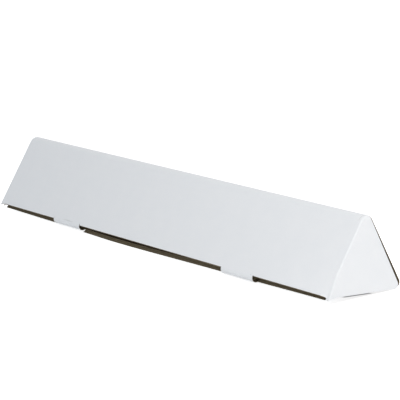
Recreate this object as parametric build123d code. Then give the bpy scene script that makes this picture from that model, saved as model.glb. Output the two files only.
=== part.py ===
from build123d import *
from math import atan2, cos, degrees, hypot, radians, sin, sqrt, tan
import os

# A triangular mailing tube, cut and folded from one sheet of corrugated board.
# X runs along the tube, the lid faces -Y, and the tube lies on its bottom panel.
# The sections are drawn with the end flaps' base line at Z = 0, and the finished
# pieces are then turned and lowered together onto the surface that they rest on.

# Board and folds
board = 3.0                # thickness of the corrugated board
ridge_radius = 7.5         # outside of the fold along the ridge
heel_radius = 4.0          # outside of the fold between the rear and bottom panels
end_fold_radius = 3.2      # outside of the folds between the lid and its end flaps
tab_fold_radius = 3.2      # outside of the folds under the lock tabs

# Tube
tube_length = 464.0        # over the two end flaps
side = 76.0                # width of each face, to the sharp corners outside the folds
end_clearance = 0.3        # from an end flap's inside to the cut ends behind it
lid_clearance = 0.4        # from the lid's inside to the bottom panel's front edge
bottom_setback = 4.0       # the bottom panel stops this far short of the near cut end

# Lid
lid_edge_height = 1.1      # the lid's lower edge stands this far above the base line
near_nib_length = 4.5      # ends of the lower edge that reach down to the base line
far_nib_length = 3.4
nib_radius = 0.9           # round between a nib and the lower edge

# Lock tabs on the lid's lower edge
tab_width = 40.4
tab_centre = 122.3         # from the middle of the tube to the middle of a tab
far_tab_drop = 3.1         # from the lid's lower edge down to the tab's fold
near_tab_drop = 4.2
tab_slit = 0.8             # relief cut at each side of a tab
tongue_lap = 9.0           # the tongue reaches this far past its notch
tongue_clearance = 0.4     # under the tongue at the back of its notch
tongue_corner = 5.0        # round corners at the tongue's tip

# Notches in the bottom panel's front edge
notch_depth = 14.0
notch_near_gap = 2.0       # beside the tab on its near side
notch_far_gap = 0.6        # beside the tab on its far side

# The bottom panel hangs open a little, and its free front edge is bowed
edge_drop = 2.35           # from the base line to the front edge's underside at the ends
bow_depth = 3.3            # lowest place of the bow, below the line between the ends
bow_centre = -56.0         # where that lowest place is
bow_at_far_tab_outside = 0.8
bow_at_far_tab_inside = 2.4
bow_at_near_tab = 1.1

# Free edge of an end flap, set in from the rear panel's outer face
flap_inset_top = 2.6
flap_inset_bottom = 4.2
flap_corner = 1.5

# Angles of the section, in degrees from +Y
face_slope = 60.0          # each face stands at this angle to the next
crown = 90.0               # the middle of the ridge's round
lid_tangent = crown + face_slope
rear_tangent = crown - face_slope
heel_split = -60.0         # the rear panel's profile ends here on the heel's round

# Places that follow from the dimensions, as (Y, Z) pairs in the section
half_length = tube_length / 2
rise_rate = sin(radians(face_slope))   # height gained along a face
run_rate = cos(radians(face_slope))    # distance across gained along it
apex_height = side * rise_rate
cut_end = half_length - board - end_clearance
ridge_centre = (0.0, apex_height - 2 * ridge_radius)
heel_centre = (side / 2 - heel_radius * sqrt(3), heel_radius)
front_corner = (-side / 2, 0.0)
ridge_tangent = side - ridge_radius * sqrt(3)
lid_edge = lid_edge_height / rise_rate
far_over = 5.0             # cutting shapes run this far past the board
cutter_height = 8 * board  # of the shapes that cut right through the bottom panel


def polar(centre, radius, angle):
    """A point of the section at an angle in degrees from +Y."""
    return (
        centre[0] + radius * cos(radians(angle)),
        centre[1] + radius * sin(radians(angle)),
    )


def slope_plane():
    """The lid's outer face: local x along the tube, local y up the slope."""
    origin = (0, front_corner[0], front_corner[1])
    normal = (0, -rise_rate, run_rate)
    return Plane(origin=origin, x_dir=(1, 0, 0), z_dir=normal)


def across_plane():
    """Square to the lid's slope: local x along the tube, local y into the tube."""
    origin = (0, front_corner[0], front_corner[1])
    up_slope = (0, run_rate, rise_rate)
    return Plane(origin=origin, x_dir=(1, 0, 0), z_dir=up_slope)


def ease(t):
    """Smooth step from 0 to 1."""
    return t * t * (3 - 2 * t)


def bow(x):
    """How far the front edge lies below the line between its ends."""
    places = [
        (-half_length, 0.0),
        (-tab_centre - tab_width / 2, bow_at_far_tab_outside),
        (-tab_centre + tab_width / 2, bow_at_far_tab_inside),
        (bow_centre, bow_depth),
        (tab_centre, bow_at_near_tab),
        (half_length, 0.0),
    ]
    for (x0, drop0), (x1, drop1) in zip(places, places[1:]):
        if x <= x1:
            return drop0 + (drop1 - drop0) * ease((x - x0) / (x1 - x0))
    return 0.0


def hang_angle(drop):
    """Angle of the bottom panel below the base line, for a drop at its front edge."""
    reach = heel_centre[0] - front_corner[0] - board
    return degrees(atan2(drop, reach))


def bottom_reach():
    """Length of the bottom panel's flat, from the heel to just behind the lid."""
    angle = radians(hang_angle(edge_drop))
    along = (-cos(angle), -sin(angle))
    down = (sin(angle), -cos(angle))
    outward = (-rise_rate, run_rate)
    inside = (
        heel_centre[0] + (heel_radius - board) * down[0] - front_corner[0],
        heel_centre[1] + (heel_radius - board) * down[1] - front_corner[1],
    )
    start = inside[0] * outward[0] + inside[1] * outward[1]
    rate = along[0] * outward[0] + along[1] * outward[1]
    return (-(board + lid_clearance) - start) / rate


reach = bottom_reach()


def rear_profile():
    """Rear panel with its half of the ridge fold and most of the heel fold."""
    ridge_inner = ridge_radius - board
    heel_inner = heel_radius - board
    return make_face(
        [
            CenterArc(ridge_centre, ridge_radius, crown, -face_slope),
            Line(
                polar(ridge_centre, ridge_radius, rear_tangent),
                polar(heel_centre, heel_radius, rear_tangent),
            ),
            CenterArc(heel_centre, heel_radius, rear_tangent, heel_split - rear_tangent),
            Line(
                polar(heel_centre, heel_radius, heel_split),
                polar(heel_centre, heel_inner, heel_split),
            ),
            CenterArc(heel_centre, heel_inner, heel_split, rear_tangent - heel_split),
            Line(
                polar(heel_centre, heel_inner, rear_tangent),
                polar(ridge_centre, ridge_inner, rear_tangent),
            ),
            CenterArc(ridge_centre, ridge_inner, rear_tangent, face_slope),
            Line(
                polar(ridge_centre, ridge_inner, crown),
                polar(ridge_centre, ridge_radius, crown),
            ),
        ]
    )


def bottom_profile(x):
    """Section of the bottom panel at one place along the tube."""
    angle = hang_angle(edge_drop + bow(x))
    down = angle - 90
    along = (-cos(radians(angle)) * reach, -sin(radians(angle)) * reach)
    heel_inner = heel_radius - board
    outer_start = polar(heel_centre, heel_radius, down)
    inner_start = polar(heel_centre, heel_inner, down)
    outer_edge = (outer_start[0] + along[0], outer_start[1] + along[1])
    inner_edge = (inner_start[0] + along[0], inner_start[1] + along[1])
    face = make_face(
        [
            CenterArc(heel_centre, heel_radius, heel_split, down - heel_split),
            Line(outer_start, outer_edge),
            Line(outer_edge, inner_edge),
            Line(inner_edge, inner_start),
            CenterArc(heel_centre, heel_inner, down, heel_split - down),
            Line(
                polar(heel_centre, heel_inner, heel_split),
                polar(heel_centre, heel_radius, heel_split),
            ),
        ]
    )
    return Plane.YZ.offset(x) * face


def bottom_edge(drop):
    """Underside of the front edge and its direction, for a drop at that place."""
    angle = hang_angle(drop)
    start = polar(heel_centre, heel_radius, angle - 90)
    point = (
        start[0] - cos(radians(angle)) * reach,
        start[1] - sin(radians(angle)) * reach,
    )
    return point, angle


def notch(centre):
    """Cutter for the notch that one tab goes down through."""
    width = tab_width + notch_near_gap + notch_far_gap
    middle = centre + (notch_near_gap - notch_far_gap) / 2
    front, _ = bottom_edge(edge_drop)
    depth = notch_depth + far_over
    at_y = front[0] - far_over + depth / 2
    return Pos(middle, at_y, 0) * Box(width, depth, cutter_height)


def make_body_sheet():
    """Rear and bottom panels, folded at the heel."""
    rear = extrude(Plane.YZ * rear_profile(), amount=cut_end, both=True)
    stations = [
        -cut_end,
        -tab_centre - tab_width / 2,
        -tab_centre,
        -tab_centre + tab_width / 2,
        bow_centre,
        (bow_centre + tab_centre) / 2,
        tab_centre,
        (tab_centre + cut_end) / 2,
        cut_end,
    ]
    bottom = loft([bottom_profile(x) for x in stations])
    for centre in (-tab_centre, tab_centre):
        bottom -= notch(centre)
    setback = Pos(cut_end, heel_centre[0] - heel_radius - side / 2, 0) * Box(
        2 * bottom_setback, side, cutter_height
    )
    return rear + (bottom - setback)


def lid_profile():
    """The lid across its slope, with its halves of the two end folds."""
    centre_x = half_length - end_fold_radius
    centre_y = end_fold_radius
    inner = end_fold_radius - board
    near, far = (centre_x, centre_y), (-centre_x, centre_y)
    return make_face(
        [
            Line(polar(far, end_fold_radius, -90), polar(near, end_fold_radius, -90)),
            CenterArc(near, end_fold_radius, -90, 45),
            Line(polar(near, end_fold_radius, -45), polar(near, inner, -45)),
            CenterArc(near, inner, -45, -45),
            Line(polar(near, inner, -90), polar(far, inner, -90)),
            CenterArc(far, inner, -90, -45),
            Line(polar(far, inner, -135), polar(far, end_fold_radius, -135)),
            CenterArc(far, end_fold_radius, -135, 45),
        ]
    )


def tab_bend(drop):
    """Centre of a tab's fold in the section, and the slope height where it starts."""
    low = lid_edge_height - drop
    centre_z = low + tab_fold_radius
    start_z = centre_z + tab_fold_radius * run_rate
    start_y = front_corner[0] + start_z * run_rate / rise_rate
    centre = (start_y + tab_fold_radius * rise_rate, centre_z)
    return centre, start_z / rise_rate


def lid_outline():
    """The lid's flat in its own plane, with nibs, and cleared where the tabs bend."""
    flat_height = ridge_tangent - lid_edge
    sheet = Pos(0, lid_edge + flat_height / 2) * Rectangle(tube_length, flat_height)
    for end, nib_length in ((-1, far_nib_length), (1, near_nib_length)):
        nib = Pos(end * (half_length - nib_length / 2), lid_edge) * Rectangle(
            nib_length, 2 * lid_edge
        )
        sheet += nib
        corner = sheet.vertices().sort_by_distance(
            (end * (half_length - nib_length), lid_edge)
        )[0]
        sheet = fillet(corner, nib_radius)
    for centre, drop in ((-tab_centre, far_tab_drop), (tab_centre, near_tab_drop)):
        _, start = tab_bend(drop)
        sheet -= Pos(centre, start / 2) * Rectangle(tab_width + 2 * tab_slit, start)
    return sheet


def make_tab(centre_x, drop):
    """One lock tab: it bends under and its tongue goes in over the bottom panel."""
    centre, _ = tab_bend(drop)
    sides = (centre_x - tab_width / 2, centre_x + tab_width / 2)
    edge, hang = bottom_edge(edge_drop + min(bow(x) for x in sides))
    back_y = edge[0] + notch_depth
    back_z = edge[1] + notch_depth * tan(radians(hang)) + board + tongue_clearance
    to_back = (back_y - centre[0], back_z - centre[1])
    distance = hypot(to_back[0], to_back[1])
    rise = degrees(atan2(to_back[1], to_back[0]))
    rise += degrees(atan2(tab_fold_radius, sqrt(distance**2 - tab_fold_radius**2)))
    turn = 270 + rise - lid_tangent
    inner = tab_fold_radius - board
    length = sqrt(distance**2 - tab_fold_radius**2) + tongue_lap
    along = (cos(radians(rise)) * length, sin(radians(rise)) * length)
    outer_end = polar(centre, tab_fold_radius, rise - 90)
    inner_end = polar(centre, inner, rise - 90)
    outer_tip = (outer_end[0] + along[0], outer_end[1] + along[1])
    inner_tip = (inner_end[0] + along[0], inner_end[1] + along[1])
    profile = make_face(
        [
            CenterArc(centre, tab_fold_radius, lid_tangent, turn),
            Line(outer_end, outer_tip),
            Line(outer_tip, inner_tip),
            Line(inner_tip, inner_end),
            CenterArc(centre, inner, lid_tangent + turn, -turn),
            Line(
                polar(centre, inner, lid_tangent), polar(centre, tab_fold_radius, lid_tangent)
            ),
        ]
    )
    tab = Pos(centre_x, 0, 0) * extrude(Plane.YZ * profile, amount=tab_width / 2, both=True)
    tip = tab.faces().sort_by(Axis.Y)[-1]
    short = tip.edges().sort_by(Edge.length)[:2]
    return fillet(short, tongue_corner)


def make_lid():
    """Front panel with its half of the ridge fold and the two lock tabs."""
    blank = extrude(
        across_plane().offset(-far_over) * lid_profile(), amount=side + 2 * far_over
    )
    flat = extrude(slope_plane() * lid_outline(), amount=-board) & blank
    ridge_inner = ridge_radius - board
    bend = make_face(
        [
            CenterArc(ridge_centre, ridge_radius, crown, face_slope),
            Line(
                polar(ridge_centre, ridge_radius, lid_tangent),
                polar(ridge_centre, ridge_inner, lid_tangent),
            ),
            CenterArc(ridge_centre, ridge_inner, lid_tangent, -face_slope),
            Line(
                polar(ridge_centre, ridge_inner, crown),
                polar(ridge_centre, ridge_radius, crown),
            ),
        ]
    )
    lid = flat + extrude(Plane.YZ * bend, amount=cut_end, both=True)
    lid += make_tab(-tab_centre, far_tab_drop)
    lid += make_tab(tab_centre, near_tab_drop)
    return lid


def flap_outline():
    """An end flap's outline: under the ridge's round, with its free edge set in."""
    apex = (0, apex_height)
    envelope = make_face(Polyline(front_corner, (side / 2, 0), apex, front_corner))
    envelope = fillet(envelope.vertices().sort_by_distance((0, apex_height))[0], ridge_radius)
    bottom_y = side / 2 - flap_inset_bottom / rise_rate
    top_y = -flap_inset_top / rise_rate
    kept = Polyline(
        front_corner, (bottom_y, 0), (top_y, apex_height), (-side, apex_height), front_corner
    )
    outline = envelope & make_face(kept)
    heel = outline.vertices().sort_by_distance((bottom_y, 0))[0]
    return fillet(heel, flap_corner)


def ridge_sweep(section):
    """Turn a section, drawn from the ridge's axis up, round the ridge's corner."""
    start = Plane(
        origin=(0, ridge_centre[0], ridge_centre[1]),
        x_dir=(1, 0, 0),
        z_dir=(0, -run_rate, -rise_rate),
    )
    axis = Axis((0, ridge_centre[0], ridge_centre[1]), (-1, 0, 0))
    return revolve(start * section, axis=axis, revolution_arc=lid_tangent - rear_tangent)


def make_ridge_corner():
    """The end fold's round as it runs on over the ridge, and the cutter outside it."""
    arc_x = half_length - end_fold_radius
    arc_r = ridge_radius - end_fold_radius
    back_x = half_length - board
    back_r = arc_r + sqrt(end_fold_radius**2 - (back_x - arc_x) ** 2)
    begin = degrees(atan2(back_r - arc_r, back_x - arc_x))
    outer_x = half_length + far_over
    outer_r = ridge_radius + far_over
    solid = make_face(
        [
            CenterArc((arc_x, arc_r), end_fold_radius, 0, begin),
            Line((back_x, back_r), (back_x, 0)),
            Line((back_x, 0), (half_length, 0)),
            Line((half_length, 0), (half_length, arc_r)),
        ]
    )
    outside = make_face(
        [
            CenterArc((arc_x, arc_r), end_fold_radius, 0, 90),
            Polyline(
                (arc_x, ridge_radius),
                (arc_x, outer_r),
                (outer_x, outer_r),
                (outer_x, arc_r),
                (half_length, arc_r),
            ),
        ]
    )
    return ridge_sweep(solid), ridge_sweep(outside)


def make_near_flap():
    """Triangular end flap at the +X end, folded off the lid."""
    centre = (half_length - end_fold_radius, end_fold_radius)
    inner = end_fold_radius - board
    outer_x = half_length
    inner_x = half_length - board
    profile = make_face(
        [
            CenterArc(centre, end_fold_radius, -45, 45),
            Line(polar(centre, end_fold_radius, 0), (outer_x, side)),
            Line((outer_x, side), (inner_x, side)),
            Line((inner_x, side), polar(centre, inner, 0)),
            CenterArc(centre, inner, 0, -45),
            Line(polar(centre, inner, -45), polar(centre, end_fold_radius, -45)),
        ]
    )
    blank = extrude(
        across_plane().offset(-far_over) * profile, amount=side + 2 * far_over
    )
    prism = extrude(Plane.YZ * flap_outline(), amount=2 * half_length)
    corner, outside = make_ridge_corner()
    return ((blank & prism) - outside) + (corner & prism)


def rest(piece):
    """Turn a piece about the heel so that the bow's lowest place lies flat."""
    axis = Axis((0, heel_centre[0], heel_centre[1]), (1, 0, 0))
    lowered = piece.rotate(axis, -hang_angle(edge_drop + bow_depth))
    return Pos(0, 0, heel_radius - heel_centre[1]) * lowered


pieces = {
    "body_sheet": make_body_sheet(),
    "lid": make_lid(),
    "near_end_flap": make_near_flap(),
}
pieces["far_end_flap"] = mirror(pieces["near_end_flap"], about=Plane.YZ)

rested = {name: rest(piece) for name, piece in pieces.items()}
box = Compound(children=[Compound(piece.solids()) for piece in rested.values()]).bounding_box()
middle = Pos(0, -(box.min.Y + box.max.Y) / 2, -box.min.Z)

os.makedirs("parts", exist_ok=True)
for name, piece in rested.items():
    solid = (middle * piece).solids()[0]
    export_step(solid, "parts/" + name + ".step")

fold_centre = half_length - end_fold_radius
fold_place = polar((fold_centre, end_fold_radius), end_fold_radius, -45)
hinges = {
    "lid": Vertex(0, *polar(ridge_centre, ridge_radius, crown)),
    "near end flap": Vertex(*(across_plane() * Pos(*fold_place)).position),
    "up the lid's slope from the corner": Vertex(0, *front_corner),
    "to the ridge's corner": Vertex(0, 0, apex_height),
}
for name, place in hinges.items():
    point = (middle * rest(place)).center()
    print(name, round(point.X, 4), round(point.Y, 4), round(point.Z, 4))
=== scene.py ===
from math import acos, atan2, cos, degrees, pi, radians, sin, sqrt, tan

import bmesh
import bpy
from mathutils import Matrix, Vector


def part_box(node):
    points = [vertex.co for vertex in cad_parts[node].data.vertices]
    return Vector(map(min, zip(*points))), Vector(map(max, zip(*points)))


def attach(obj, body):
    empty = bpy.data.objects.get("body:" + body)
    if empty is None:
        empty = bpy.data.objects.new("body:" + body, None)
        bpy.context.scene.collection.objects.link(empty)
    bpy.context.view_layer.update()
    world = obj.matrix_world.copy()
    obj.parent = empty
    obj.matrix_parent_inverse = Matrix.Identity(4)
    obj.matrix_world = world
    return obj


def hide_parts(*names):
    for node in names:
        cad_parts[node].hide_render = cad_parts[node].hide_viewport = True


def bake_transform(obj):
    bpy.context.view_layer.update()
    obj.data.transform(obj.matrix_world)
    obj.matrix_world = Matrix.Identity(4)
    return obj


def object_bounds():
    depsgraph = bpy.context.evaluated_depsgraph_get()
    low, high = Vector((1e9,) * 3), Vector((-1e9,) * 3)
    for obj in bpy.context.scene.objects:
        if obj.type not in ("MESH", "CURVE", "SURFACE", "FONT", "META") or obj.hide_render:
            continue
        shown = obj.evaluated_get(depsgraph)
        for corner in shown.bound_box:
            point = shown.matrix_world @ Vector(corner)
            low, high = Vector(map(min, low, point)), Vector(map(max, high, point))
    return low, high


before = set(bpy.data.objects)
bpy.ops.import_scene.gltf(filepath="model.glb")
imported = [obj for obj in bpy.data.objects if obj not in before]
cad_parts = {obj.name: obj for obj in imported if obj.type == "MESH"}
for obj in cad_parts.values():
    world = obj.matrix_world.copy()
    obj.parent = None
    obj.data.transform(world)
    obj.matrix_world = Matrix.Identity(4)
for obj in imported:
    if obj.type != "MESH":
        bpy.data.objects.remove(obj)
cad_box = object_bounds()

# A triangular mailing tube of single-wall corrugated board, white outside and kraft inside.
# Lengths are in millimetres in the section: Y across the tube, Z up, the end flaps' base
# line at Z = 0. The function seat dents the near lower corner and turns all onto the floor,
# in metres.
MM = 0.001

# Board and folds
board = 3.0
liner = 0.3
medium = 0.25
flute_pitch = 6.35
flute_height = 2.1
ridge_radius = 7.5
heel_radius = 4.0
end_radius = 3.2
crease_radius = 1.3        # the outer liner of an end fold, over the crushed crease
tab_radius = 3.9
inner_cut = 0.9            # the free edge's inner liner ends this far behind its outer one
cut_recess = 0.6           # the flutes end this far behind the liners' cut edges
flap_recesses = (2, 1.6)   # cut recesses left at an end flap's two ends and along its free edge

# Tube
side = 76.0
bottom_setback = 4.0
lid_clearance = 0.4
half_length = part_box("near_end_flap")[1].x / MM
cut_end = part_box("body_sheet")[1].x / MM

# Lid, nibs and lock tabs
lid_edge_height = 1.4
nib_lengths = {-1: 3.4, 1: 3.6}
nib_radius = 0.9
tab_width = 40.4
tab_centre = 122.3
tab_drops = {-1: 4.8, 1: 5.6}
tab_slits = (0.2, 0.8)     # beside a tab, on its far side and on its near side
tongue_lap = 9.0
tongue_clearance = 0.4
tongue_corner = 5.0
notch_depth = 14.0
notch_gaps = (0.6, 0.8)    # beside a tab, on its far side and on its near side

# Free edge of the bottom panel: its drop below the base line, and its bow below that
edge_drop = 2.35
bow_depth = 3.3
bow_places = [
    (-half_length, 0.5),
    (-tab_centre - tab_width / 2, 1.2),
    (-tab_centre + tab_width / 2, 2.6),
    (-56.0, bow_depth),
    (tab_centre, 1.4),
    (half_length, 0.2),
]

# End flaps
flap_inset_top = 2.3
flap_inset_bottom = 4.2
flap_corner = 3.5

# The near lower corner is crushed inwards and down
crush_in = 2.7
crush_down = 1.4
crush_height = 17.0        # above the base line
crush_reach = 10.0         # in from the lid's face

# Wrap of an end fold over the ridge, on the flap
wrap_start = 0.2           # the wrap's edge, as far round the bend as the ridge's cut end
wrap_gap = 0.05            # between the wrap's edge and the ridge's cut end
wrap_whole = radians(40)   # up to this turn the free edge leaves the wrap its full width
fade_end = radians(110)    # from this turn on the wrap is flat
fade_length = radians(20)  # and over this turn before it, its round fades out

# The fold strips reach past the ends of their folds
ridge_margin = 2.0
end_margins = {end: nib_lengths[end] - end_radius for end in nib_lengths}
wrap_margin = 1.0

# Cells
rows_per_flute = 12
column_width = 7.0
heel_rows = 18
ridge_rows = 30
tab_rows = 26
end_rows = 16
wrap_rows = 12
corner_rows = 8
zone_lengths = {"back": 4.0, "middle": 44.0, "front": 14.0}    # of the bottom panel, roughly
nib_turns = (0, 22.5, 45, 67.5, 90)
tongue_turns = (0, 20, 40, 55, 70, 90)
crush_rows = (0.12, 0.34, 0.56, 0.78, 1.0)    # shares of the crushed corner's height
start_share = 0.6          # a row lies this far from the near tab's start to the far tab's
support = 0.8              # a row of cells this wide lies beside each bend
weld = 1e-7                # points closer than this, in metres, are one
tiny = 1e-9

# Places that follow
S60 = sin(radians(60))
apex_height = side * S60
ridge_centre = (0.0, apex_height - 2 * ridge_radius)
heel_centre = (side / 2 - heel_radius * sqrt(3), heel_radius)
ridge_top = side - ridge_radius * sqrt(3)
ridge_arc = ridge_radius * radians(60)
rear_flat = side - (ridge_radius + heel_radius) * sqrt(3)
rear_across = ridge_top + 2 * ridge_arc
heel_across = rear_across + rear_flat
end_arc = end_radius * pi / 2
fold_widths = {end: end_radius + end_margins[end] for end in end_margins}
lid_edge = lid_edge_height / S60
flute_step = flute_pitch / rows_per_flute


def polar(centre, radius, angle):
    """A point of the section at an angle in degrees from +Y."""
    return centre[0] + radius * cos(radians(angle)), centre[1] + radius * sin(radians(angle))


def hang_angle(drop):
    """Angle of the bottom panel below the base line, for a drop at its front edge."""
    return degrees(atan2(drop, heel_centre[0] + side / 2 - board))


def bow(x):
    """How far the free edge is bowed at a place along the tube."""
    for (x0, drop0), (x1, drop1) in zip(bow_places, bow_places[1:]):
        if x <= x1:
            t = (x - x0) / (x1 - x0)
            return drop0 + (drop1 - drop0) * t * t * (3 - 2 * t)
    return 0.0


def find_reach():
    """Length of the bottom panel's flat, from the heel to just behind the lid."""
    angle = radians(hang_angle(edge_drop))
    start_y = heel_centre[0] + (heel_radius - board) * sin(angle) + side / 2
    start_z = heel_centre[1] - (heel_radius - board) * cos(angle)
    start = -S60 * start_y + 0.5 * start_z
    return (-(board + lid_clearance) - start) / (S60 * cos(angle) - 0.5 * sin(angle))


reach = find_reach()
# the flutes are laid so that the free edge is cut through the foot of one
edge_hang = radians(hang_angle(edge_drop + bow_depth / 2))
edge_across = heel_across + heel_radius * (radians(120) - edge_hang) + reach
flute_shift = flute_pitch / 4 - edge_across % flute_pitch
# the tube stands on its heel and on the lowest place of the bow
lean = radians(hang_angle(edge_drop + bow_depth))
body_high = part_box("body_sheet")[1]
heel_seat = (body_high.y / MM - heel_radius, heel_radius)


def from_lid(height, inward):
    """Y and Z of a place, by its height up the lid's slope and how far in from the lid it lies."""
    return -side / 2 + height / 2 + inward * S60, height * S60 - inward / 2


def to_lid(y, z):
    """A place's height up the lid's slope, and how far in from the lid it lies."""
    return (y + side / 2) / 2 + z * S60, (y + side / 2) * S60 - z / 2


def crush_share(x, y, z):
    """How much of the crushed corner's shift a place takes: 1 at the corner, 0 away from it."""
    begin, full = cut_end - bottom_setback, half_length - nib_lengths[1]
    inward = to_lid(y, z)[1]
    parts = ((x - begin) / (full - begin), 1 - z / crush_height, 1 - inward / crush_reach)
    share = 1.0
    for part in parts:
        share *= min(1.0, max(0.0, part))
    return share


def seat(x, y, z):
    """A place in the section's millimetres, dented and seated on the floor in metres."""
    crush = crush_share(x, y, z)
    dy = y + crush_in * crush - heel_centre[0]
    dz = z - crush_down * crush - heel_centre[1]
    return MM * Vector(
        (
            x,
            heel_seat[0] + dy * cos(lean) + dz * sin(lean),
            heel_seat[1] - dy * sin(lean) + dz * cos(lean),
        )
    )


def turned(x, y, z):
    """A direction in the section, turned as the seated tube is."""
    return Vector((x, y * cos(lean) + z * sin(lean), z * cos(lean) - y * sin(lean)))


def facing(angle):
    """The board's outward direction at an angle of the section in degrees, seated."""
    return turned(0, cos(radians(angle)), sin(radians(angle)))


def beside_tab(end, gaps, recess):
    """Where a tab with a gap on its far and on its near side begins and ends along the tube."""
    low = end * tab_centre - tab_width / 2 - gaps[0] - recess
    high = end * tab_centre + tab_width / 2 + gaps[1] + recess
    return low, high


def spread(start, end, count):
    """Evenly spaced values, both ends included."""
    return [start + (end - start) * i / count for i in range(count + 1)]


def steps(length, fine):
    """How many rows a length across the flutes needs."""
    return max(1, round(length / flute_step)) if fine else 1


# Camera and light


def make_camera():
    """The photograph's view: a long lens, a little above the tube and turned to its near end."""
    # fitted to the tube's edges as the photograph shows them
    azimuth, elevation, roll = radians(54.960), radians(12.775), radians(-3.301)
    distance = 1.78261
    target = Vector((0.00250, 0.01788, 0.03548))
    back = Vector(
        (sin(azimuth) * cos(elevation), -cos(azimuth) * cos(elevation), sin(elevation))
    )
    level = Vector((cos(azimuth), sin(azimuth), 0))
    up = back.cross(level)
    right = cos(roll) * level + sin(roll) * up
    up = cos(roll) * up - sin(roll) * level
    data = bpy.data.cameras.new("camera")
    data.lens = 195.3
    data.sensor_width = 36.0
    data.clip_start, data.clip_end = 0.05, 60.0
    camera = bpy.data.objects.new("camera", data)
    camera.matrix_world = Matrix.Translation(target + back * distance) @ Matrix(
        (right, up, back)
    ).transposed().to_4x4()
    bpy.context.scene.collection.objects.link(camera)
    bpy.context.scene.camera = camera


def make_lamp(name, place, aim, size, power, colour):
    """A square soft lamp."""
    data = bpy.data.lights.new(name, "AREA")
    data.size = size
    data.energy = power
    data.color = colour
    lamp = bpy.data.objects.new(name, data)
    lamp.location = place
    lamp.rotation_euler = (Vector(aim) - Vector(place)).to_track_quat("-Z", "Y").to_euler()
    bpy.context.scene.collection.objects.link(lamp)


# Materials


def shade(code):
    """Linear colour of an sRGB hex value."""
    parts = [int(code[i : i + 2], 16) / 255 for i in (0, 2, 4)]
    return tuple(c / 12.92 if c <= 0.04045 else ((c + 0.055) / 1.055) ** 2.4 for c in parts) + (1,)


def add(tree, kind, inputs=(), **settings):
    """A node with its settings, and its inputs as values or as links."""
    node = tree.nodes.new(kind)
    for name, value in settings.items():
        setattr(node, name, value)
    for key, value in dict(inputs).items():
        if isinstance(value, bpy.types.NodeSocket):
            tree.links.new(value, node.inputs[key])
        else:
            node.inputs[key].default_value = value
    return node


def new_material(name):
    """A material that has no nodes yet, and its tree."""
    material = bpy.data.materials.new(name)
    material.use_nodes = True
    material.node_tree.nodes.clear()
    return material, material.node_tree


fibre_draw = 6             # a liner's fibres are this much longer than wide


def paper(name, tones, flecks, fibre, cloud, rough, washboard, grain):
    """Paper liner: fibres drawn out along the flutes, soft clouds and the flutes' faint ridges.

    Tones are the clouds' two colours, flecks the fibres' colour and its strength. Fibre and cloud
    are sizes in millimetres, washboard and grain are heights in millimetres.
    """
    material, tree = new_material(name)
    place = add(tree, "ShaderNodeTexCoord").outputs["Object"]
    drawn = add(
        tree,
        "ShaderNodeMapping",
        {
            "Vector": place,
            "Scale": (1 / (fibre_draw * fibre * MM), 1 / (fibre * MM), 1 / (fibre * MM)),
        },
    ).outputs["Vector"]
    strands = add(
        tree,
        "ShaderNodeTexNoise",
        {"Vector": drawn, "Scale": 1.0, "Detail": 3.0, "Roughness": 0.6},
    ).outputs["Fac"]
    clouds = add(
        tree,
        "ShaderNodeTexNoise",
        {"Vector": place, "Scale": 1 / (cloud * MM), "Detail": 4.0, "Roughness": 0.55},
    ).outputs["Fac"]
    base = add(
        tree,
        "ShaderNodeMix",
        {0: clouds, 6: shade(tones[0]), 7: shade(tones[1])},
        data_type="RGBA",
    ).outputs[2]
    speck = add(
        tree,
        "ShaderNodeMapRange",
        {"Value": strands, "From Min": 0.58, "From Max": 0.8, "To Min": 0.0, "To Max": flecks[1]},
    ).outputs["Result"]
    colour = add(
        tree,
        "ShaderNodeMix",
        {0: speck, 6: base, 7: shade(flecks[0])},
        data_type="RGBA",
    ).outputs[2]
    roughness = add(
        tree,
        "ShaderNodeMapRange",
        {"Value": clouds, "From Min": 0.3, "From Max": 0.7, "To Min": rough[0], "To Max": rough[1]},
    ).outputs["Result"]
    across = add(
        tree, "ShaderNodeAttribute", attribute_type="GEOMETRY", attribute_name="flute_across"
    ).outputs["Fac"]
    turns = add(
        tree, "ShaderNodeMath", {0: across, 1: 2 * pi / (flute_pitch * MM)}, operation="MULTIPLY"
    ).outputs[0]
    ridges = add(tree, "ShaderNodeMath", {0: turns}, operation="SINE").outputs[0]
    waves = add(
        tree,
        "ShaderNodeBump",
        {"Height": ridges, "Distance": washboard * MM, "Strength": 1.0},
    ).outputs["Normal"]
    bump = add(
        tree,
        "ShaderNodeBump",
        {"Height": strands, "Distance": grain * MM, "Strength": 1.0, "Normal": waves},
    ).outputs["Normal"]
    shader = add(
        tree,
        "ShaderNodeBsdfPrincipled",
        {"Base Color": colour, "Roughness": roughness, "Normal": bump, "Specular IOR Level": 0.3},
    )
    add(tree, "ShaderNodeOutputMaterial", {"Surface": shader.outputs[0]})
    return material


# Bleached and calendered liner: an even, cool white with a dull smooth face
white_liner = paper(
    "bleached_kraft_liner",
    ("f2f4f6", "f7f8f9"),
    ("e4e6e8", 0.35),
    fibre=0.35,
    cloud=14.0,
    rough=(0.52, 0.62),
    washboard=0.012,
    grain=0.01,
)
# Unbleached liner inside the tube: brown, with dark and light fibres that show
kraft_liner = paper(
    "unbleached_kraft_liner",
    ("88785f", "95856b"),
    ("655641", 0.5),
    fibre=0.45,
    cloud=9.0,
    rough=(0.7, 0.82),
    washboard=0.03,
    grain=0.02,
)
# Recycled fluting paper, seen at the raw edges: greyer brown and rough
fluting = paper(
    "recycled_fluting_paper",
    ("7b6f59", "887c64"),
    ("554a39", 0.6),
    fibre=0.3,
    cloud=5.0,
    rough=(0.8, 0.9),
    washboard=0.0,
    grain=0.03,
)
FINISHES = [white_liner, kraft_liner, fluting]
WHITE, KRAFT, FLUTE = range(3)


# Board layers


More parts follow.
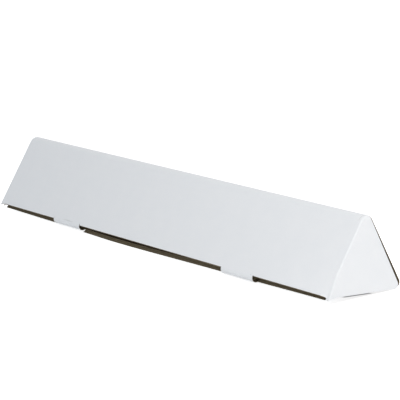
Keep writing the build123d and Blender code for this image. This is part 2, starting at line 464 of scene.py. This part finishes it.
def start_shell():
    """An empty shell, and what adds a point to it with the values that the flutes need."""
    bm = bmesh.new()
    across_layer = bm.verts.layers.float.new("flute_across")
    outward_layer = bm.verts.layers.float_vector.new("board_outward")

    def add_point(point, outward, across):
        vert = bm.verts.new(point)
        vert[across_layer] = (across + flute_shift) * MM
        vert[outward_layer] = outward
        return vert

    return bm, add_point


def face_outwards(bm):
    """The shell with its faces outwards; its first face lies on the board's outer side."""
    outward_layer = bm.verts.layers.float_vector["board_outward"]
    bm.faces.ensure_lookup_table()
    first = bm.faces[0]
    first.normal_update()
    if first.normal.dot(first.verts[0][outward_layer]) < 0:
        bmesh.ops.reverse_faces(bm, faces=bm.faces)
    return bm


def everywhere(i, j):
    """Every cell of a grid is paper."""
    return True


def grid_shell(columns, rows, place, kept, top, bottom, finishes):
    """A closed sheet between two depths of the board, on a grid of columns and rows.

    place(column, row, depth) gives a point, the board's outward direction there and how far
    across the flutes it lies. kept(i, j) says which cells are paper.
    """
    bm, add_point = start_shell()
    corners = {}

    def corner(i, j, depth):
        key = (i, j, depth)
        if key not in corners:
            corners[key] = add_point(*place(columns[i], rows[j], depth))
        return corners[key]

    cells = [
        (i, j)
        for i in range(len(columns) - 1)
        for j in range(len(rows) - 1)
        if kept(i, j)
    ]
    inside = set(cells)
    for i, j in cells:
        around = [(i, j), (i + 1, j), (i + 1, j + 1), (i, j + 1)]
        face = bm.faces.new([corner(a, b, top) for a, b in around])
        face.material_index = finishes[0]
        face = bm.faces.new([corner(a, b, bottom) for a, b in reversed(around)])
        face.material_index = finishes[1]
        beside = [(i, j - 1), (i + 1, j), (i, j + 1), (i - 1, j)]
        for k, cell in enumerate(beside):
            if cell not in inside:
                start, stop = around[k], around[(k + 1) % 4]
                rim = [(*stop, top), (*start, top), (*start, bottom), (*stop, bottom)]
                face = bm.faces.new([corner(*key) for key in rim])
                face.material_index = finishes[1]
    return face_outwards(bm)


def slab(outline, place, top, bottom, finishes):
    """A closed flat sheet between two depths of the board, inside an outline."""
    bm, add_point = start_shell()
    upper, lower = ([add_point(*place(spot, depth)) for spot in outline] for depth in (top, bottom))
    bm.faces.new(upper).material_index = finishes[0]
    bm.faces.new(list(reversed(lower))).material_index = finishes[1]
    for k in range(len(upper)):
        n = (k + 1) % len(upper)
        bm.faces.new([upper[n], upper[k], lower[k], lower[n]]).material_index = finishes[1]
    return face_outwards(bm)


def gather(shells):
    """One mesh of several shells; where two meet wall to wall, they are joined without the wall."""
    mesh = bpy.data.meshes.new("gathered")
    whole = bmesh.new()
    for shell in shells:
        part = bpy.data.meshes.new("part")
        shell.to_mesh(part)
        shell.free()
        whole.from_mesh(part)
        bpy.data.meshes.remove(part)
    bmesh.ops.remove_doubles(whole, verts=whole.verts, dist=weld)
    seen = {}
    for face in whole.faces:
        seen.setdefault(frozenset(v.index for v in face.verts), []).append(face)
    walls = [face for pair in seen.values() if len(pair) > 1 for face in pair]
    bmesh.ops.delete(whole, geom=walls, context="FACES_ONLY")
    whole.to_mesh(mesh)
    whole.free()
    return mesh


def flute_tree():
    """Geometry nodes that raise a flat sheet into flutes along the board's outward direction."""
    tree = bpy.data.node_groups.new("flutes", "GeometryNodeTree")
    tree.interface.new_socket("Geometry", in_out="INPUT", socket_type="NodeSocketGeometry")
    for name in ("Flute pitch", "Flute height"):
        tree.interface.new_socket(name, in_out="INPUT", socket_type="NodeSocketFloat")
    tree.interface.new_socket("Paper", in_out="INPUT", socket_type="NodeSocketMaterial")
    tree.interface.new_socket("Geometry", in_out="OUTPUT", socket_type="NodeSocketGeometry")
    given = add(tree, "NodeGroupInput").outputs
    across = add(
        tree, "GeometryNodeInputNamedAttribute", {"Name": "flute_across"}, data_type="FLOAT"
    ).outputs["Attribute"]
    outward = add(
        tree,
        "GeometryNodeInputNamedAttribute",
        {"Name": "board_outward"},
        data_type="FLOAT_VECTOR",
    ).outputs["Attribute"]
    flutes = add(
        tree, "ShaderNodeMath", {0: across, 1: given["Flute pitch"]}, operation="DIVIDE"
    ).outputs[0]
    angle = add(tree, "ShaderNodeMath", {0: flutes, 1: 2 * pi}, operation="MULTIPLY").outputs[0]
    wave = add(tree, "ShaderNodeMath", {0: angle}, operation="SINE").outputs[0]
    half = add(
        tree, "ShaderNodeMath", {0: given["Flute height"], 1: 0.5}, operation="MULTIPLY"
    ).outputs[0]
    rise = add(tree, "ShaderNodeMath", {0: wave, 1: half}, operation="MULTIPLY").outputs[0]
    offset = add(
        tree, "ShaderNodeVectorMath", {0: outward, "Scale": rise}, operation="SCALE"
    ).outputs[0]
    raised = add(
        tree, "GeometryNodeSetPosition", {"Geometry": given["Geometry"], "Offset": offset}
    ).outputs[0]
    real = add(tree, "GeometryNodeRealizeInstances", {"Geometry": raised}).outputs[0]
    done = add(
        tree, "GeometryNodeSetMaterial", {"Geometry": real, "Material": given["Paper"]}
    ).outputs[0]
    add(tree, "NodeGroupOutput", {"Geometry": done})
    return tree


flute_group = flute_tree()


def fluted(mesh):
    """The mesh raised into flutes, as a plain mesh."""
    raw = bpy.data.objects.new("flat_medium", mesh)
    bpy.context.scene.collection.objects.link(raw)
    modifier = raw.modifiers.new("flutes", "NODES")
    modifier.node_group = flute_group
    values = {"Flute pitch": flute_pitch * MM, "Flute height": flute_height * MM, "Paper": fluting}
    for item in flute_group.interface.items_tree:
        if item.in_out == "INPUT" and item.name in values:
            modifier[item.identifier] = values[item.name]
    graph = bpy.context.evaluated_depsgraph_get()
    graph.update()
    made = bpy.data.meshes.new_from_object(
        raw.evaluated_get(graph), preserve_all_data_layers=True, depsgraph=graph
    )
    bpy.data.objects.remove(raw)
    return made


def make_board(name, outer, middle, inner):
    """One piece of board from its outer liner, its fluted medium and its inner liner."""
    mesh = bpy.data.meshes.new(name)
    whole = bmesh.new()
    parts = ((gather(outer), None), (fluted(gather(middle)), FLUTE), (gather(inner), None))
    for layer, finish in parts:
        start = len(whole.faces)
        whole.from_mesh(layer)
        whole.faces.ensure_lookup_table()
        if finish is not None:
            for face in whole.faces[start:]:
                face.material_index = finish
    whole.to_mesh(mesh)
    whole.free()
    for finish in FINISHES:
        mesh.materials.append(finish)
    piece = bpy.data.objects.new(name, mesh)
    bpy.context.scene.collection.objects.link(piece)
    mesh.shade_smooth()
    mesh.set_sharp_from_angle(angle=radians(30))
    # the end flaps' outlines are one face each and stay flat
    for face in mesh.polygons:
        face.use_smooth = face.loop_total < 5
    return piece


def layers(build):
    """Outer liner, medium and inner liner, each from build(top, bottom, finishes, recess)."""
    middle = board / 2
    return (
        build(0.0, liner, (WHITE, KRAFT), 0.0),
        build(middle - medium / 2, middle + medium / 2, (FLUTE, FLUTE), cut_recess),
        build(board - liner, board, (KRAFT, KRAFT), 0.0),
    )


# Rear and bottom panels


def body_place(x, row, depth):
    """A place on the body sheet: x along the tube, row = (zone, share of the zone, recess)."""
    zone, share, recess = row
    hang = hang_angle(edge_drop + bow(x))
    down = hang - 90
    if zone == "rear":
        run = ridge_margin + (rear_flat - ridge_margin) * share
        start = polar(ridge_centre, ridge_radius - depth, 30)
        y, z = start[0] + run * cos(radians(60)), start[1] - run * S60
        angle, across = 30, rear_across + run
    elif zone == "heel":
        angle = 30 + (down - 30) * share
        y, z = polar(heel_centre, heel_radius - depth, angle)
        across = heel_across + heel_radius * radians(30 - angle)
    else:
        limits = bottom_limits(x, recess)
        first = list(zone_lengths).index(zone)
        run = limits[first] + (limits[first + 1] - limits[first]) * share
        if zone == "front" and depth >= board - liner:
            run -= inner_cut * share
        y, z = polar(heel_centre, heel_radius - depth, down)
        y -= run * cos(radians(hang))
        z -= run * sin(radians(hang))
        angle = down
        across = heel_across + heel_radius * radians(30 - down) + run
    return seat(x, y, z), facing(angle), across


def bottom_limits(x, recess):
    """Runs from the heel to the setback, to the notches' backs and to the free edge."""
    hang = radians(hang_angle(edge_drop + bow(x)))
    start = heel_centre[0] + heel_radius * sin(hang)
    rest_hang = radians(hang_angle(edge_drop))
    front = heel_centre[0] + heel_radius * sin(rest_hang) - reach * cos(rest_hang)
    setback = start - (heel_centre[0] - heel_radius)
    notch = (start - front - notch_depth) / cos(hang)
    return 0.0, setback - recess, notch - recess, reach - recess


def body_shell(top, bottom, finishes, recess):
    """One layer of the rear and bottom panels."""
    fine = recess > 0
    ends = cut_end - recess
    notches = [beside_tab(end, notch_gaps, recess) for end in (-1, 1)]
    setback = cut_end - bottom_setback - recess
    stops = [-ends, *notches[0], *notches[1], setback, ends]
    columns = [-ends]
    for x0, x1 in zip(stops, stops[1:]):
        columns += spread(x0, x1, max(1, round((x1 - x0) / column_width)))[1:]
    rear_shares = sorted([*spread(0, 1, steps(rear_flat, fine)), 1 - support / rear_flat])
    rows = [("rear", share, recess) for share in rear_shares]
    rows += [("heel", share, recess) for share in spread(0, 1, heel_rows)[1:]]
    for zone, length in zone_lengths.items():
        rows += [(zone, share, recess) for share in spread(0, 1, steps(length, fine))[1:]]

    def kept(i, j):
        x = (columns[i] + columns[i + 1]) / 2
        zone = rows[j + 1][0]
        if zone == "front" and any(low < x < high for low, high in notches):
            return False
        return not (zone in ("middle", "front") and x > setback)

    return [grid_shell(columns, rows, body_place, kept, top, bottom, finishes)]


# Ridge fold


def ridge_place(x, run, depth):
    """A place on the ridge fold: run across it, from the lid's side to the rear's."""
    bend = max(-ridge_arc, min(ridge_arc, run))
    angle = 90 - degrees(bend / ridge_radius)
    y, z = polar(ridge_centre, ridge_radius - depth, angle)
    flat = run - bend
    slope = -60 if run > 0 else 60
    y += flat * cos(radians(slope))
    z += flat * sin(radians(slope))
    return seat(x, y, z), facing(angle), ridge_top + ridge_arc + run


def ridge_shell(top, bottom, finishes, recess):
    """One layer of the ridge fold, with a little of the flat on each side of it."""
    ends = cut_end - recess
    columns = [-ends, nib_lengths[-1] - half_length, half_length - nib_lengths[1], ends]
    rows = spread(-ridge_arc - ridge_margin, -ridge_arc, steps(ridge_margin, recess > 0))
    rows += spread(-ridge_arc, ridge_arc, ridge_rows)[1:]
    rows += spread(ridge_arc, ridge_arc + ridge_margin, steps(ridge_margin, recess > 0))[1:]

    def kept(i, j):
        return i == 1 or rows[j] >= -ridge_arc - tiny

    return [grid_shell(columns, rows, ridge_place, kept, top, bottom, finishes)]


# Lid


def tab_bend(end):
    """Centre of a tab's fold in the section, and the slope height where it starts."""
    centre_z = lid_edge_height - tab_drops[end] + tab_radius
    start_z = centre_z + tab_radius / 2
    centre = (start_z / tan(radians(60)) - side / 2 + tab_radius * S60, centre_z)
    return centre, start_z / S60


def lid_place(x, row, depth):
    """A place on the lid's flat, by the row's height up the slope at that x."""
    return seat(x, *from_lid(row(x), depth)), turned(0, -S60, 0.5), row(x)


def lower_edge(recess):
    """The lid's lower edge, rounded where it meets the nibs."""

    def height(x):
        end = 1 if x > 0 else -1
        past = max(0.0, abs(x) - (half_length - nib_lengths[end] - nib_radius))
        return lid_edge - nib_radius + sqrt(max(0.0, nib_radius**2 - past**2)) + recess

    return height


def between(low, high, share):
    """The row at a share of the way between two rows."""
    return lambda x: low(x) + (high(x) - low(x)) * share


def tab_columns(end, recess):
    """Columns over a lock tab, closer together at its tongue's round corners."""
    half = tab_width / 2 - recess
    bend = [half - tongue_corner * (1 - cos(radians(a))) for a in tongue_turns]
    offsets = [-b for b in bend] + [0.0] + bend[::-1]
    return [end * tab_centre + offset for offset in offsets]


def tab_rise(end):
    """Angle at which a tongue rises to clear its notch's back edge, and the tongue's length."""
    centre = tab_bend(end)[0]
    drop = edge_drop + min(bow(end * tab_centre + k * tab_width / 2) for k in (-1, 1))
    hang = radians(hang_angle(drop))
    edge_y = heel_centre[0] + heel_radius * sin(hang) - reach * cos(hang)
    edge_z = heel_centre[1] - heel_radius * cos(hang) - reach * sin(hang)
    to_y = edge_y + notch_depth - centre[0]
    to_z = edge_z + notch_depth * tan(hang) + board + tongue_clearance - centre[1]
    straight = sqrt(to_y**2 + to_z**2 - tab_radius**2)
    return degrees(atan2(to_z, to_y)) + degrees(atan2(tab_radius, straight)), straight + tongue_lap


def tab_place(end, recess):
    """Places on a lock tab: the row is (bend share, tongue share)."""
    centre, start = tab_bend(end)
    rise, length = tab_rise(end)

    def place(x, row, depth):
        bent, along = row
        angle = 150 + (120 + rise) * bent
        y, z = polar(centre, tab_radius - depth, angle)
        past = max(0.0, abs(x - end * tab_centre) - (tab_width / 2 - tongue_corner))
        tip = length - tongue_corner + sqrt(max(0.0, tongue_corner**2 - past**2)) - recess
        y += tip * along * cos(radians(rise))
        z += tip * along * sin(radians(rise))
        across = start - tab_radius * radians(120 + rise) * bent - tip * along
        return seat(x, y, z), facing(angle), across

    return place


def lid_shell(top, bottom, finishes, recess):
    """One layer of the lid: its flat and the two lock tabs."""
    fine = recess > 0
    far_inner, near_inner = (half_length - nib_lengths[end] - nib_radius for end in (-1, 1))
    nib_steps = [nib_radius * sin(radians(a)) for a in nib_turns]
    slits = {end: beside_tab(end, tab_slits, recess) for end in (-1, 1)}
    columns = [-far_inner - step for step in nib_steps][::-1]
    for end, (low_side, high_side) in slits.items():
        columns += [low_side, *tab_columns(end, recess), high_side]
    columns += [cut_end - bottom_setback, *(near_inner + step for step in nib_steps)]
    low, high = lower_edge(recess), ridge_top - ridge_margin
    starts = {end: tab_bend(end)[1] for end in (-1, 1)}

    def tab_start(end):
        """The row where a tab's fold starts, and where the slits beside it end."""
        return lambda x: starts[end] + (recess if abs(x - end * tab_centre) > tab_width / 2 else 0.0)

    far_start, near_start = tab_start(-1), tab_start(1)
    levels = [
        low,
        near_start,
        between(near_start, far_start, start_share),
        far_start,
        lambda x: far_start(x) + support,
        lambda x: crush_height / S60,
        lambda x: high,
    ]
    rows = [low]
    for level0, level1 in zip(levels, levels[1:]):
        count = steps(level1(0) - level0(0), fine)
        rows += [between(level0, level1, share) for share in spread(0, 1, count)[1:]]

    def kept(i, j):
        x = (columns[i] + columns[i + 1]) / 2
        height = (rows[j](0) + rows[j + 1](0)) / 2
        for end, start in starts.items():
            if slits[end][0] < x < slits[end][1] and height < start:
                return False
        return True

    shells = [grid_shell(columns, rows, lid_place, kept, top, bottom, finishes)]
    for end in (-1, 1):
        length = tab_rise(end)[1]
        bend_rows = [(share, 0.0) for share in spread(0, 1, tab_rows)]
        tongue_rows = [(1.0, share) for share in spread(0, 1, steps(length, fine))[1:]]
        shells.append(
            grid_shell(
                tab_columns(end, recess),
                bend_rows + tongue_rows,
                tab_place(end, recess),
                everywhere,
                top,
                bottom,
                finishes,
            )
        )
    return shells


# End flaps and their folds


def base_height(inward):
    """Where the base line crosses the flap, by the distance in from the lid's face."""
    return inward / sqrt(3)


def free_edge():
    """The free edge's two ends as (height up the slope, distance in from the lid's face)."""
    heel = to_lid(side / 2 - flap_inset_bottom / S60, 0.0)
    apex = to_lid(-flap_inset_top / S60, apex_height)
    return heel, apex


def free_radius(turn):
    """How far the free edge lies from the ridge's axis, turned on from the lid's tangent."""
    (v0, w0), (v1, w1) = free_edge()
    slope = (v1 - v0) / (w1 - w0)
    return (v0 + slope * (ridge_radius - w0) - ridge_top) / (sin(turn) + slope * cos(turn))


def ridge_spot(turn, radius):
    """A spot of the flap at a turn round the ridge's axis and a radius from it."""
    return ridge_top + radius * sin(turn), ridge_radius - radius * cos(turn)


wrap_turns = spread(0, radians(120), wrap_rows)
fold_top = ridge_top - wrap_margin
crush_shares = [share * crush_height / S60 / fold_top for share in crush_rows]


def flap_outline(end):
    """Outline of the flap's flat part, from its base corner round to the fold's wrap."""
    fold = fold_widths[end]
    heel, top_corner = (Vector(corner) for corner in free_edge())
    to_base = Vector((-0.5, -S60))
    to_top = (top_corner - heel).normalized()
    opening = to_base.angle(to_top)
    tangent = flap_corner / tan(opening / 2)
    centre = heel + (to_base + to_top).normalized() * (flap_corner / sin(opening / 2))
    first, last = heel + to_base * tangent - centre, heel + to_top * tangent - centre
    arc = []
    for share in spread(0, 1, corner_rows):
        turn = (first * (1 - share) + last * share).normalized() * flap_corner
        arc.append(tuple(centre + turn))
    top = ridge_spot(wrap_turns[-1], free_radius(wrap_turns[-1]))
    bite = [ridge_spot(turn, ridge_radius - fold) for turn in reversed(wrap_turns)]
    base = base_height(fold)
    beside = [(base + (fold_top - base) * share, fold) for share in (1.0, *crush_shares[::-1])]
    crush_end = (base_height(crush_reach), crush_reach)
    return [(base, fold), crush_end, *arc, top, *bite, *beside]


def flap_place(end):
    """Places on an end flap: spot = (height up the slope, distance in from the lid's face)."""

    def place(spot, depth):
        return seat(end * (half_length - depth), *from_lid(*spot)), Vector((end, 0, 0)), spot[0]

    return place


def inward_limits(end, height):
    """Where the flap's flat part begins and ends at a height up the slope."""
    outline = flap_outline(end)
    found = []
    for (v0, w0), (v1, w1) in zip(outline, outline[1:] + outline[:1]):
        if min(v0, v1) <= height <= max(v0, v1) and abs(v1 - v0) > tiny:
            found.append(w0 + (w1 - w0) * (height - v0) / (v1 - v0))
    return min(found), max(found)


def fold_stops(end):
    """Places across an end fold: along the lid, round the bend and on along the flap."""
    bend = sorted([*spread(0, end_arc, end_rows), wrap_start])
    return [-end_margins[end], *bend, end_arc + end_margins[end]]


def layer_radius(depth):
    """An end fold's radius: the outer liner lies over the crushed crease, the rest is round."""
    return crease_radius if depth <= liner else end_radius


def crease_middle(end):
    """The middle of an end fold, halfway round its bend."""
    turn = radians(45)
    x = half_length - end_radius + end_radius * sin(turn)
    return seat(end * x, *from_lid(side / 2, end_radius - end_radius * cos(turn)))


def flap_shell(end):
    """Builds one layer of an end flap: its flat part and the fold's wrap over the ridge."""
    inner = ridge_radius - fold_widths[end]
    arc_radius = ridge_radius - end_radius

    def section(run):
        """Radius from the ridge's axis of a place across the fold, on the outer face."""
        if run > end_arc:
            return arc_radius - (run - end_arc)
        return arc_radius + end_radius * cos(run / end_radius)

    outermost = section(wrap_start)

    def build(top, bottom, finishes, recess):
        def wrap_place(run, turn, depth):
            # across the wrap, out to its edge or to the free edge, whichever comes first
            limit = outermost if turn < wrap_whole else min(outermost, free_radius(turn))
            share = (section(run) - inner) / (outermost - inner)
            radius = inner + share * (limit - recess - inner)
            # the wrap's round, and how far the layer lies in along the tube
            swept = max(0.0, turn)
            bend_radius = layer_radius(depth)
            fade = min(1.0, max(0.0, (fade_end - swept) / fade_length))
            past = (radius - ridge_radius + bend_radius) * fade / bend_radius
            bend = acos(min(1.0, max(0.0, past)))
            x = half_length - bend_radius + (bend_radius - depth) * sin(bend)
            if run == wrap_start:
                x = min(x, cut_end + wrap_gap)
            if past > 0:
                radius -= depth * cos(bend)
            height, inward = ridge_spot(swept, radius)
            height += min(0.0, turn)
            angle = radians(150) - swept
            outward = turned(0, cos(angle) * cos(bend), sin(angle) * cos(bend))
            outward += Vector((end * sin(bend), 0, 0))
            return seat(end * x, *from_lid(height, inward)), outward, height

        stops = [run for run in fold_stops(end) if run >= wrap_start]
        wrap = grid_shell(
            stops,
            [-wrap_margin, *wrap_turns],
            wrap_place,
            everywhere,
            top,
            bottom,
            finishes,
        )
        if not recess:
            return [slab(flap_outline(end), flap_place(end), top, bottom, finishes), wrap]
        at_ends, along_free = flap_recesses
        low = base_height(fold_widths[end]) + at_ends * recess
        high = ridge_spot(wrap_turns[-1], free_radius(wrap_turns[-1]))[0] - at_ends * recess
        rows = spread(low, high, steps(high - low, True))

        def place(share, height, depth):
            first, last = inward_limits(end, height)
            inward = first + (last - along_free * recess - first) * share
            return flap_place(end)((height, inward), depth)

        flat = grid_shell([0.0, 1.0], rows, place, everywhere, top, bottom, finishes)
        return [flat, wrap]

    return build


def fold_shell(end):
    """Builds one layer of the fold between the lid and an end flap."""
    stops = fold_stops(end)
    wrapped = stops.index(wrap_start)

    def build(top, bottom, finishes, recess):
        def place(run, row, depth):
            turn = max(0.0, min(end_arc, run)) / end_radius
            bend_radius = layer_radius(depth)
            x = half_length - bend_radius + (bend_radius - depth) * sin(turn)
            inward = bend_radius - (bend_radius - depth) * cos(turn)
            if run < 0:
                x = half_length - end_radius + run
            if run > end_arc:
                inward = end_radius + run - end_arc
            band, share = row
            # the board is cut square to its face, so the cut turns with the fold
            face = inward - depth * cos(turn)
            low = base_height(face) + recess
            height = low + (fold_top - low) * share + band * wrap_margin
            outward = turned(0, -S60 * cos(turn), 0.5 * cos(turn)) + Vector((end * sin(turn), 0, 0))
            return seat(end * x, *from_lid(height, inward)), outward, height

        shares = {*spread(0, 1, steps(ridge_top, recess > 0)), *crush_shares}
        rows = [(0, share) for share in sorted(shares)]
        rows.append((1, 1.0))

        def kept(i, j):
            return rows[j + 1][0] == 0 or i < wrapped

        return [grid_shell(stops, rows, place, kept, top, bottom, finishes)]

    return build


# The pieces: the boards ride on their bodies, the fold strips are fixed in place

make_camera()

body_board = make_board("rear_and_bottom_board", *layers(body_shell))
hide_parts("body_sheet")
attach(body_board, "base")

lid_board = make_board("lid_board", *layers(lid_shell))
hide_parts("lid")
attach(lid_board, "lid")

ridge_fold = make_board("ridge_fold", *layers(ridge_shell))
ridge_middle = seat(0, 0, ridge_centre[1] + ridge_radius)
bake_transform(ridge_fold)

for end, name in ((1, "near"), (-1, "far")):
    flap = make_board(name + "_flap_board", *layers(flap_shell(end)))
    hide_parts(name + "_end_flap")
    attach(flap, name + "_flap")
    fold = make_board(name + "_end_fold", *layers(fold_shell(end)))
    hinge = crease_middle(end)
    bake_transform(fold)


# Floor and light

floor_size = 30            # in metres, as the next four are
floor_drop = 0.0002        # below the tube
under_past = 0.0024        # the shaded floor under the tube ends this far past the tube's ends
under_in = 0.026           # and this far inside its front and back
under_blur = 0.001         # half the width of its soft rim
under_slant = 0.29         # how fast its ends draw in towards the front
floor_lift = 0.8           # how far the rest of the floor is lifted to white
horizon_strength = 0.86
zenith_strength = 0.52
backdrop_gain = 0.25       # brighter behind the tube and darker in front of it, by this much


def seen_rays(tree):
    """1 for camera, glossy and transmission rays, 0 for the rays that light the tube."""
    rays = add(tree, "ShaderNodeLightPath").outputs
    seen = rays["Is Camera Ray"]
    for name in ("Is Glossy Ray", "Is Transmission Ray"):
        seen = add(tree, "ShaderNodeMath", {0: seen, 1: rays[name]}, operation="MAXIMUM").outputs[0]
    return seen


def make_floor():
    """A wide pale floor that looks white to the camera and keeps the tube's shadow."""
    bpy.ops.mesh.primitive_plane_add(size=floor_size)
    floor = bpy.context.object
    floor.name = "floor"
    floor.location.z = -floor_drop
    material, tree = new_material("pale_floor")
    # the lift to white stops a little way under the tube, where the floor stays in its shadow;
    # the end flaps' base rises from the heel to the front, so under them it stops further in
    place = add(tree, "ShaderNodeTexCoord").outputs["Object"]
    front = add(tree, "ShaderNodeSeparateXYZ", {0: place}).outputs[1]
    slant = add(
        tree,
        "ShaderNodeMath",
        {0: front, 1: -under_slant, 2: under_slant * cad_box[1].y},
        operation="MULTIPLY_ADD",
    ).outputs[0]
    away = add(tree, "ShaderNodeVectorMath", {0: place}, operation="ABSOLUTE").outputs[0]
    axes = add(tree, "ShaderNodeSeparateXYZ", {0: away}).outputs
    along = add(tree, "ShaderNodeMath", {0: axes[0], 1: slant}, operation="ADD").outputs[0]
    along = add(
        tree, "ShaderNodeMath", {0: along, 1: cad_box[1].x + under_past}, operation="SUBTRACT"
    ).outputs[0]
    across = add(
        tree, "ShaderNodeMath", {0: axes[1], 1: cad_box[1].y - under_in}, operation="SUBTRACT"
    ).outputs[0]
    outside = add(tree, "ShaderNodeMath", {0: along, 1: across}, operation="MAXIMUM").outputs[0]
    open_floor = add(
        tree,
        "ShaderNodeMapRange",
        {"Value": outside, "From Min": -under_blur, "From Max": under_blur},
        interpolation_type="SMOOTHSTEP",
    ).outputs["Result"]
    lift = add(
        tree, "ShaderNodeMath", {0: seen_rays(tree), 1: open_floor}, operation="MULTIPLY"
    ).outputs[0]
    lift = add(tree, "ShaderNodeMath", {0: lift, 1: floor_lift}, operation="MULTIPLY").outputs[0]
    diffuse = add(tree, "ShaderNodeBsdfDiffuse", {"Color": shade("f9f9f9")}).outputs[0]
    glow = add(
        tree, "ShaderNodeEmission", {"Color": shade("ffffff"), "Strength": lift}
    ).outputs[0]
    both = add(tree, "ShaderNodeAddShader", {0: diffuse, 1: glow}).outputs[0]
    add(tree, "ShaderNodeOutputMaterial", {"Surface": both})
    floor.data.materials.append(material)


def make_world():
    """Even studio light, white where the camera sees it."""
    world = bpy.data.worlds.new("studio")
    bpy.context.scene.world = world
    world.use_nodes = True
    tree = world.node_tree
    tree.nodes.clear()
    way = add(tree, "ShaderNodeTexCoord").outputs["Generated"]
    axes = add(tree, "ShaderNodeSeparateXYZ", {0: way}).outputs
    sky = add(
        tree,
        "ShaderNodeMapRange",
        {"Value": axes[2], "To Min": horizon_strength, "To Max": zenith_strength},
    ).outputs["Result"]
    strength = add(
        tree, "ShaderNodeMath", {0: axes[1], 1: backdrop_gain, 2: sky}, operation="MULTIPLY_ADD"
    ).outputs[0]
    behind = add(
        tree, "ShaderNodeMapRange", {"Value": axes[1], "From Min": -1.0, "From Max": 1.0}
    ).outputs["Result"]
    colour = add(
        tree,
        "ShaderNodeMix",
        {0: behind, 6: shade("dce6f0"), 7: shade("fffdfc")},
        data_type="RGBA",
    ).outputs[2]
    soft = add(tree, "ShaderNodeBackground", {"Color": colour, "Strength": strength}).outputs[0]
    white = add(
        tree, "ShaderNodeBackground", {"Color": shade("ffffff"), "Strength": 1.0}
    ).outputs[0]
    mix = add(tree, "ShaderNodeMixShader", {0: seen_rays(tree), 1: soft, 2: white}).outputs[0]
    add(tree, "ShaderNodeOutputWorld", {"Surface": mix})


make_floor()
make_world()
make_lamp(
    "near_lamp",
    place=(0.8, -0.55, 0.9),
    aim=(0.25, 0, 0.03),
    size=0.6,
    power=6.2,
    colour=(1.0, 0.965, 0.93),
)

bpy.context.scene.view_settings.view_transform = "Standard"
